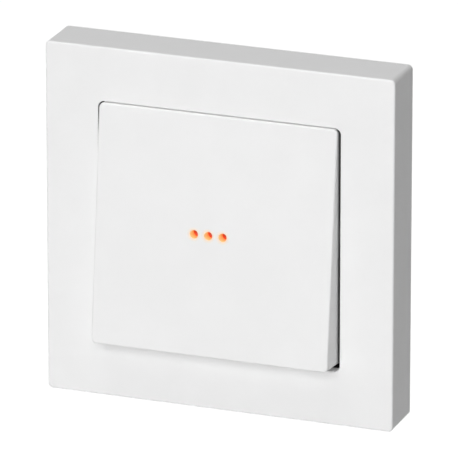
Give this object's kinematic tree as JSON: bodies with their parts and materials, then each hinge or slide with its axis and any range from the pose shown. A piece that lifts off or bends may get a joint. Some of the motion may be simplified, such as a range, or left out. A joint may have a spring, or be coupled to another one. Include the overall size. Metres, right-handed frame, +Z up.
{
  "type": "illuminated bell push",
  "caption": "Flush wall bell push: square frame round a sprung, tilted rocker with lit points, on a steel plate with a contact insert and wire terminals behind.",
  "frame": {"origin": "centre of the frame, on the wall surface", "axes": "+X to the right as seen from the room, +Y into the wall, +Z up"},
  "size_m": [0.08, 0.0375, 0.08],
  "materials": {
    "white_plastic": "satin moulded thermoplastic, pure white",
    "orange_lens": "tinted clear light guide, lit from behind",
    "zinc_steel": "bright zinc plated sheet",
    "insert_plastic": "moulded thermoplastic, black",
    "base_plastic": "moulded thermoset, mid grey",
    "plunger_plastic": "natural acetal",
    "screw_steel": "zinc plated and passivated",
    "contact_brass": "stamped strip",
    "contact_silver": "welded silver alloy",
    "spring_steel": "drawn wire",
    "lamp_glass": "clear glass, glowing",
    "tinned_wire": "tinned copper wire",
    "resistor_body": "lacquered"
  },
  "bodies": {
    "base": {"cover_frame": "white_plastic", "support_plate": "zinc_steel", "insert_cover": "insert_plastic", "insert_base": "base_plastic", "lamp_holder": "plunger_plastic", "cover_screws": "screw_steel", "terminal_screws": "screw_steel", "clamp_plates": "screw_steel", "contact_blade_left": "contact_brass", "contact_blade_right": "contact_brass", "contact_tips": "contact_silver", "return_spring": "spring_steel", "glow_lamp": "lamp_glass", "lamp_leads": "tinned_wire", "series_resistor": "resistor_body"},
    "rocker": {"rocker": "white_plastic", "light_lens": "orange_lens", "rocker_carrier": "insert_plastic"},
    "plunger": {"plunger": "plunger_plastic", "contact_bridge": "contact_brass", "bridge_tips": "contact_silver"}
  },
  "joints": [
    {"name": "rocker_press", "type": "hinge", "parent": "base", "child": "rocker", "pos_m": [0, -0.00764, 0], "axis": [1, 0, 0], "range_deg": [0, 8], "stiffness_Nm_per_rad": 0.4, "springref_deg": -6.88},
    {"name": "plunger_slide", "type": "slide", "parent": "base", "child": "plunger", "axis": [0, 1, 0], "range_m": [0, 0.0017], "deforming": ["return_spring"]}
  ],
  "couplings": [
    {"joint": "plunger_slide", "follows": "rocker_press", "m_per_rad": 0.012019}
  ]
}
